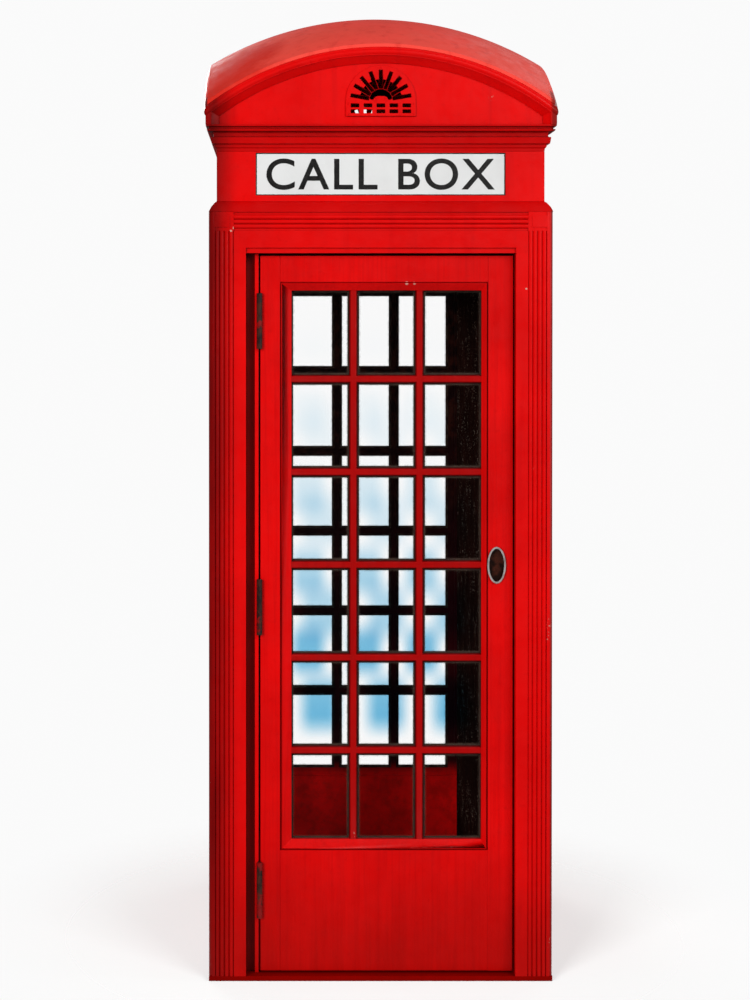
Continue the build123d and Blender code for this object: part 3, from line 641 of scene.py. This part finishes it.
def screw_shape(centre, facing, radius, turn, proud=SCREW_PROUD):
    """A flat slotted screw head facing a direction, as two half discs either side of the slot."""
    centre, facing = Vector(centre), Vector(facing)
    across = Matrix.Rotation(turn, 3, facing) @ facing.orthogonal().normalized()
    up = facing.cross(across)
    slot_half = radius * SCREW_SLOT
    start = math.asin(SCREW_SLOT)
    arc = [start + (math.pi - 2 * start) * k / SCREW_STEPS for k in range(SCREW_STEPS + 1)]
    count = len(arc)
    points, faces = [], []
    for side in (1, -1):
        first = len(points)
        for height, size in ((0.0, 1.0), (0.55 * proud, 1.0), (proud, 0.86)):
            for angle in arc:
                a = radius * size * math.cos(angle)
                b = max(radius * size * math.sin(angle), slot_half)
                points.append(centre + across * a * side + up * b * side + facing * height)
        for level in (first, first + count):
            for k in range(count):
                j = (k + 1) % count
                faces.append([level + k, level + j, level + count + j, level + count + k])
        faces.append([first + 2 * count + k for k in range(count)])
        faces.append([first + k for k in reversed(range(count))])
    return points, faces


def screws(name, spots, facing, radius, proud, body, turns):
    """Slotted iron screw heads on one piece, each turned its own way."""
    shapes = [screw_shape(place, facing, radius, turns.uniform(0, math.pi), proud) for place in spots]
    points, faces = join_shapes(shapes)
    return add_piece(name, mesh_from(name, points, faces), "rusty_iron", body)


def vent_screws(turns):
    """Screws through the rim of each vent plate."""
    low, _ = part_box("vent_grilles")
    spots = [(x, low.y, low.z + h) for x in (-VENT_SCREW_X, VENT_SCREW_X) for h in VENT_SCREW_HEIGHTS]
    spots.append((0.0, low.y, low.z + VENT_SCREW_TOP))
    shapes = []
    for degrees in SIDES.values():
        heads = [screw_shape(place, (0, -1, 0), VENT_SCREW_R, turns.uniform(0, math.pi)) for place in spots]
        points, faces = join_shapes(heads)
        shapes.append((turned(points, degrees), faces))
    points, faces = join_shapes(shapes)
    mesh = mesh_from("vent_screws", points, faces)
    return add_piece("vent_screws", mesh, "red_paint", "cabin")


def hinge_bottoms():
    """Heights of the lower ends of the three hinges."""
    low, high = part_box("frame_hinge_leaves")
    top = high.z - HINGE_H
    return low.z, (low.z + top) / 2 - HINGE_DROP, top


def hinge_screws(turns):
    """Screws in the leaves of the three hinges, on the cabin and on the door."""
    for body, x, facing in (("cabin", DOOR_EDGE - HINGE_GAP, 1), ("door", DOOR_EDGE, -1)):
        spots = []
        for bottom in hinge_bottoms():
            for number, height in enumerate(HINGE_SCREW_HEIGHTS):
                spots.append((x, FRAME_FACE + HINGE_SCREW_DEPTHS[number % 2], bottom + height))
        screws(f"hinge_screws_{body}", spots, (facing, 0, 0), HINGE_SCREW_R, HINGE_SCREW_PROUD, body, turns)


def board_screws(turns):
    """Two rows of screws along the upright edges of the backboard."""
    low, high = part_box("equipment_backboard")
    spacing = (high.z - low.z - 2 * BOARD_SCREW_END) / (BOARD_SCREWS - 1)
    spots = []
    for y in (low.y + BOARD_SCREW_INSET, high.y - BOARD_SCREW_INSET):
        for k in range(BOARD_SCREWS):
            spots.append((low.x, y, low.z + BOARD_SCREW_END + k * spacing))
    screws("board_screws", spots, (-1, 0, 0), BOARD_SCREW_R, SCREW_PROUD, "cabin", turns)


# ================= lettering =================

def flat_letters():
    """The words as a thin mesh lying in the XY plane."""
    curve = bpy.data.curves.new("lettering_curve", "FONT")
    curve.body = TEXT
    curve.size = TEXT_SIZE
    curve.space_character = 1.12
    curve.extrude = TEXT_HALF_T
    curve.offset = TEXT_WEIGHT
    curve.align_x = "CENTER"
    curve.resolution_u = 8
    holder = bpy.data.objects.new("lettering_holder", curve)
    bpy.context.scene.collection.objects.link(holder)
    bpy.context.view_layer.update()
    mesh = bpy.data.meshes.new_from_object(holder)
    bpy.data.objects.remove(holder)
    bpy.data.curves.remove(curve)
    return mesh


def fitted(values, size):
    """Numbers scaled and centred on zero so that they span a size."""
    low, high = min(values), max(values)
    return [(value - (low + high) / 2) * size / (high - low) for value in values]


def lettering():
    """Plain block lettering on each of the four signs."""
    low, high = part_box("sign_glasses")
    middle = (low.z + high.z) / 2
    flat = flat_letters()
    xs = fitted([v.co.x for v in flat.vertices], TEXT_W)
    zs = fitted([v.co.y for v in flat.vertices], TEXT_H)
    ys = [low.y - TEXT_PROUD - v.co.z for v in flat.vertices]
    faces = [list(p.vertices) for p in flat.polygons]
    bpy.data.meshes.remove(flat)
    points, faces = on_all_sides([(x, y, middle + z) for x, y, z in zip(xs, ys, zs)], faces)
    mesh = mesh_from("sign_lettering", points, faces)
    return add_piece("sign_lettering", mesh, "black_enamel", "cabin")


# ================= roof =================

def cap_points(half, radius, centre):
    """A square grid of points on a sphere, closer together towards its edges."""
    marks = [half * math.sin(math.pi / 2 * (2 * k / DOME_STEPS - 1)) for k in range(DOME_STEPS + 1)]
    return [(x, y, centre + math.sqrt(radius ** 2 - x ** 2 - y ** 2)) for y in marks for x in marks]


def grid_rim():
    """Numbers of the points round the edge of such a grid, in order."""
    steps, count = DOME_STEPS, DOME_STEPS + 1
    rim = list(range(count))
    rim += [j * count + steps for j in range(1, count)]
    rim += [steps * count + i for i in range(steps - 1, -1, -1)]
    rim += [j * count for j in range(steps - 1, 0, -1)]
    return rim


def shell_faces():
    """Faces of a closed shell of two such grids, the upper one first."""
    count = DOME_STEPS + 1
    under = count * count
    faces = []
    for j in range(DOME_STEPS):
        for i in range(DOME_STEPS):
            a = j * count + i
            faces.append([a, a + 1, a + count + 1, a + count])
            faces.append([under + a + count, under + a + count + 1, under + a + 1, under + a])
    rim = grid_rim()
    for k, a in enumerate(rim):
        b = rim[(k + 1) % len(rim)]
        faces.append([a, under + a, under + b, b])
    return faces


def dome_shell():
    """A smooth sail dome in place of the faceted one: a thin sphere over a square."""
    low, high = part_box("roof_dome")
    half, drop = high.x, high.z - low.z
    radius = (2 * half ** 2 + drop ** 2 - DOME_T ** 2) / (2 * (drop - DOME_T))
    centre = high.z - radius
    points = cap_points(half, radius, centre) + cap_points(half, radius - DOME_T, centre)
    mesh = mesh_from("dome_shell", points, shell_faces())
    piece = add_piece("dome_shell", mesh, "roof_paint", "cabin")
    soften(piece, DOME_ROUND)
    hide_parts("roof_dome")
    return piece


# ================= modifiers =================

def weld_and_smooth():
    """Geometry nodes: welds the imported faces and shades them smooth below a crease angle."""
    group = bpy.data.node_groups.new("weld_and_smooth", "GeometryNodeTree")
    for in_out in ("INPUT", "OUTPUT"):
        group.interface.new_socket("Geometry", in_out=in_out, socket_type="NodeSocketGeometry")
    nodes, links = group.nodes, group.links
    start, end = nodes.new("NodeGroupInput"), nodes.new("NodeGroupOutput")
    strip = nodes.new("GeometryNodeRemoveAttribute")
    strip.inputs["Name"].default_value = "custom_normal"
    weld = nodes.new("GeometryNodeMergeByDistance")
    weld.inputs["Distance"].default_value = WELD
    angle = nodes.new("GeometryNodeInputMeshEdgeAngle")
    sharp = nodes.new("FunctionNodeCompare")
    sharp.operation = "LESS_THAN"
    sharp.inputs[1].default_value = CREASE
    faces = nodes.new("GeometryNodeSetShadeSmooth")
    edges = nodes.new("GeometryNodeSetShadeSmooth")
    edges.domain = "EDGE"
    links.new(start.outputs[0], strip.inputs[0])
    links.new(strip.outputs[0], weld.inputs[0])
    links.new(weld.outputs[0], faces.inputs["Geometry"])
    links.new(faces.outputs[0], edges.inputs["Geometry"])
    links.new(angle.outputs["Unsigned Angle"], sharp.inputs[0])
    links.new(sharp.outputs[0], edges.inputs["Shade Smooth"])
    links.new(edges.outputs[0], end.inputs[0])
    return group


def soften(piece, width=EDGE_ROUND):
    """Welds, smooths and rounds the edges of a piece with modifiers."""
    smooth = piece.modifiers.new("smooth", "NODES")
    smooth.node_group = SMOOTHING
    bevel = piece.modifiers.new("rounded_edges", "BEVEL")
    bevel.width = width
    bevel.segments = 2
    bevel.limit_method = "ANGLE"
    bevel.angle_limit = CREASE
    bevel.harden_normals = True
    bevel.use_clamp_overlap = True


# ================= stage, lights and camera =================

def background(nodes, colour, strength):
    made = nodes.new("ShaderNodeBackground")
    made.inputs["Color"].default_value = (*colour, 1)
    made.inputs["Strength"].default_value = strength
    return made


def studio():
    """Pale surroundings that look white, light the object softly and are dim in reflections."""
    world = bpy.data.worlds.new("studio")
    bpy.context.scene.world = world
    world.use_nodes = True
    nodes, links = world.node_tree.nodes, world.node_tree.links
    nodes.clear()
    path = nodes.new("ShaderNodeLightPath")
    seen = background(nodes, (1, 1, 1), 0.96)
    soft = background(nodes, (1.0, 0.98, 0.97), 0.20)
    dim = background(nodes, (1, 1, 1), 0.06)
    first, second = nodes.new("ShaderNodeMixShader"), nodes.new("ShaderNodeMixShader")
    out = nodes.new("ShaderNodeOutputWorld")
    links.new(path.outputs["Is Glossy Ray"], first.inputs[0])
    links.new(soft.outputs[0], first.inputs[1])
    links.new(dim.outputs[0], first.inputs[2])
    links.new(path.outputs["Is Camera Ray"], second.inputs[0])
    links.new(first.outputs[0], second.inputs[1])
    links.new(seen.outputs[0], second.inputs[2])
    links.new(second.outputs[0], out.inputs[0])


def soft_light(name, place, target, size, power, in_reflections):
    data = bpy.data.lights.new(name, "AREA")
    data.shape = "RECTANGLE"
    data.size, data.size_y = size
    data.energy = power
    light = bpy.data.objects.new(name, data)
    light.location = place
    light.rotation_euler = (Vector(target) - Vector(place)).to_track_quat("-Z", "Y").to_euler()
    light.visible_camera = False
    light.visible_glossy = in_reflections
    bpy.context.scene.collection.objects.link(light)


def floor_material():
    """A pale floor, partly clear so that shadows stay faint, that fades out away from the object."""
    g = Graph("pale_floor")
    colour = g.mix(g.stretch(g.noise(2.0, 3.0), 0.3, 0.7), (0.93, 0.93, 0.925), (0.915, 0.915, 0.91))
    reach = g.node("ShaderNodeVectorMath", {0: g.place}, operation="LENGTH").outputs["Value"]
    ground = g.node("ShaderNodeBsdfDiffuse", {"Color": colour, "Roughness": 0.8})
    away = g.node("ShaderNodeBsdfTransparent", {"Color": (1.0, 1.0, 1.0)})
    g.show(g.mixed(g.stretch(reach, *FLOOR_FADE, FLOOR_CLEAR, 1.0), ground, away))
    return g.material


def stage_floor():
    """A flat square, just below the object's feet."""
    size, height = FLOOR_HALF, -0.5 * MM
    corners = [(-size, -size, height), (size, -size, height), (size, size, height), (-size, size, height)]
    mesh = mesh_from("floor", corners, [[0, 1, 2, 3]])
    mesh.materials.append(floor_material())
    floor = bpy.data.objects.new("floor", mesh)
    bpy.context.scene.collection.objects.link(floor)


def camera():
    data = bpy.data.cameras.new("camera")
    data.lens = CAMERA_LENS
    data.sensor_width = 36.0
    data.shift_x, data.shift_y = CAMERA_SHIFT
    data.clip_start, data.clip_end = 0.1, 100.0
    eye = bpy.data.objects.new("camera", data)
    eye.location = CAMERA_PLACE
    eye.rotation_euler = (math.radians(90 - CAMERA_TILT), 0, 0)
    bpy.context.scene.collection.objects.link(eye)
    bpy.context.scene.camera = eye


# ================= build =================

MATERIALS = {
    "red_paint": red_paint("red_paint", (0.78, 0.0015, 0.0015), (0.66, 0.001, 0.001), chips=CHIPS),
    "painted_timber": red_paint("painted_timber", (0.76, 0.0015, 0.0015), (0.62, 0.001, 0.001),
                                grain=0.24, chips=DOOR_CHIPS),
    # roof paint: its pink is chalked paint and painted sheen
    "roof_paint": red_paint("roof_paint", (0.93, 0.068, 0.050), (0.84, 0.078, 0.054),
                            rough=(0.5, 0.68), shine=0.10, sheen_off_left=True),
    # lintel and cornice paints: more painted shade in their corners; the cornice also painted darker as
    # painted shade under its overhang
    "lintel_paint_shaded": red_paint("lintel_paint_shaded", (0.76, 0.0015, 0.0015), (0.62, 0.001, 0.001), corner_shade=0.75),
    "cornice_paint_shaded": red_paint("cornice_paint_shaded", (0.60, 0.001, 0.001), (0.50, 0.001, 0.001), corner_shade=0.95),
    "base_paint": red_paint("base_paint", (0.26, 0.001, 0.0), (0.18, 0.001, 0.0),
                            rough=(0.6, 0.8), shine=0.02),
    "rusty_iron": rusty_iron(),
    "bright_metal": bright_metal(),
    "concrete": concrete(),
    "cream_paint": cream_paint(),
    "black_board": black_board(),
    "opal_glass": opal_glass(),
    "black_enamel": black_enamel(),
    "putty": putty(),
}
# the cornice, ledge and lintels take the paints with more painted shade
SPECIAL = {"base_sill": "base_paint", "cornice": "cornice_paint_shaded", "body_ledge": "cornice_paint_shaded",
           **{f"lintel_{side}": "lintel_paint_shaded" for side in SIDES}}
SMOOTHING = weld_and_smooth()


def paint_nodes():
    """Materials and rounded edges for every CAD node but the glass."""
    for name, node in frame["nodes"].items():
        slot = SLOT_OF[name]
        if slot == "clear_glass":
            continue
        node.data.materials.clear()
        node.data.materials.append(MATERIALS[SPECIAL.get(name, slot)])
        soften(node, PULL_ROUND if name == "door_pull" else EDGE_ROUND)


def glaze():
    """The glass of the fixed sides and of the door."""
    for name, body in (("fixed_panes", "cabin"), ("door_panes", "door")):
        node = frame["nodes"][name]
        node.data.materials.clear()
        node.data.materials.append(clear_glass(f"clear_glass_{body}", glass_left(body)))


def details():
    """The pieces that are added to the CAD nodes. Screws share one seeded source of turns."""
    turns = random.Random(7)
    dome_shell()
    for side in ("right", "back", "left"):
        putty_beads(f"putty_{side}", SIDES[side], "cabin")
    putty_beads("putty_door", SIDES["front"], "door")
    sign_beads()
    lettering()
    vent_screws(turns)
    hinge_screws(turns)
    board_screws(turns)


paint_nodes()
glaze()
details()
stage_floor()
studio()
for light in LIGHTS:
    soft_light(*light)
camera()
bpy.context.scene.view_settings.view_transform = "Standard"
